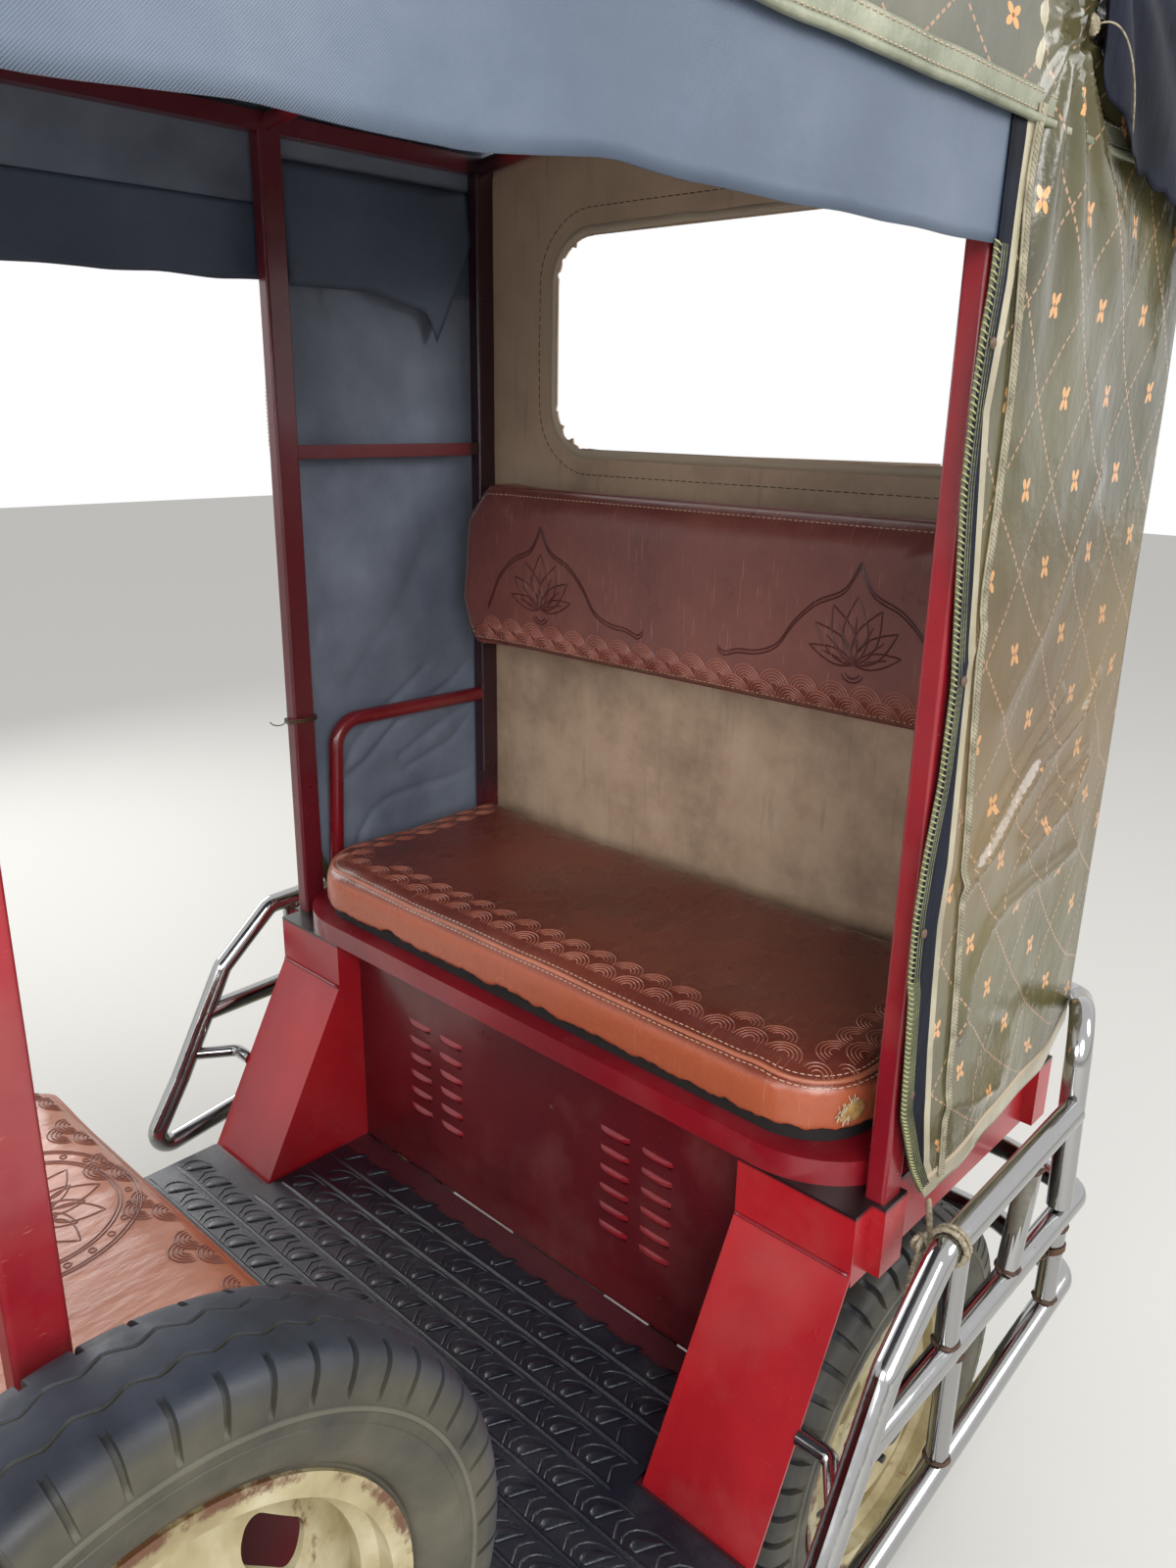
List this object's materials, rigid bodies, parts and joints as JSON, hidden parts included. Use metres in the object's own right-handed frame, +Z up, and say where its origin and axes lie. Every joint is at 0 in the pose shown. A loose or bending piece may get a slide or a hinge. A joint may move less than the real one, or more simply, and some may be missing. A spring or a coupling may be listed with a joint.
{
  "type": "auto rickshaw",
  "caption": "Small electric passenger three-wheeler with a canopied rear bench, curtains, tube side guards, spare wheel, steered front fork and turning wheels.",
  "frame": {"origin": "on the ground, in the middle of the overall length and width", "axes": "+X forward, +Y to the vehicle's left, +Z up"},
  "size_m": [2.5699, 1.158, 1.7219],
  "materials": {
    "body_red": "glossy",
    "frame_black": "satin",
    "mat_rubber": "satin",
    "battery_case": "matte",
    "seat_vinyl": "glossy",
    "backrest_vinyl": "glossy",
    "driver_vinyl": "satin",
    "lining_vinyl": "matte",
    "canopy_vinyl": "matte",
    "curtain_vinyl": "glossy",
    "plated_tube": "polished",
    "rope": "matte",
    "cast_black": "matte",
    "lamp_glass": "polished",
    "screen_glass": "polished",
    "tail_red": "glossy",
    "tyre": "matte",
    "rim_cream": "satin",
    "grip_rubber": "matte"
  },
  "bodies": {
    "chassis": {"chassis_frame": "frame_black", "floor_pan": "body_red", "floor_mat": "mat_rubber", "bench_box": "body_red", "battery_pack": "battery_case", "bench_shelf": "body_red", "wheel_arches": "body_red", "seat_cushion": "seat_vinyl", "backrest": "backrest_vinyl", "cabin_frame": "body_red", "armrests": "body_red", "rear_panel": "lining_vinyl", "canopy_roof": "canopy_vinyl", "side_curtains": "curtain_vinyl", "side_guards": "plated_tube", "rear_bumper": "plated_tube", "curtain_rope": "rope", "rear_axle": "cast_black", "drive_motor": "cast_black", "leaf_springs": "cast_black", "driver_seat_base": "body_red", "driver_cushion": "driver_vinyl", "leg_panel": "body_red", "front_cowl": "body_red", "headlamp": "lamp_glass", "windscreen_frame": "frame_black", "windscreen_glass": "screen_glass", "brake_pedal": "frame_black", "tail_lamps": "tail_red", "spare_tyre": "tyre", "spare_rim": "rim_cream"},
    "front_wheel": {"front_tyre": "tyre", "front_rim": "rim_cream", "front_drum": "cast_black"},
    "rear_left_wheel": {"rear_tyre_left": "tyre", "rear_rim_left": "rim_cream", "rear_drum_left": "cast_black"},
    "rear_right_wheel": {"rear_tyre_right": "tyre", "rear_rim_right": "rim_cream", "rear_drum_right": "cast_black"},
    "fork": {"fork": "plated_tube", "handlebar": "frame_black", "grips": "grip_rubber", "front_mudguard": "body_red"}
  },
  "joints": [
    {"name": "steering", "type": "hinge", "parent": "chassis", "child": "fork", "pos_m": [0.99791, 0, 0.23502], "axis": [-0.3746, 0, 0.9272], "range_deg": [-40, 40]},
    {"name": "front_wheel_spin", "type": "hinge", "parent": "fork", "child": "front_wheel", "pos_m": [1.035, 0, 0.25], "axis": [0, 1, 0], "continuous": true},
    {"name": "rear_left_wheel_spin", "type": "hinge", "parent": "chassis", "child": "rear_left_wheel", "pos_m": [-0.915, 0.445, 0.25], "axis": [0, 1, 0], "continuous": true},
    {"name": "rear_right_wheel_spin", "type": "hinge", "parent": "chassis", "child": "rear_right_wheel", "pos_m": [-0.915, -0.445, 0.25], "axis": [0, 1, 0], "continuous": true}
  ]
}
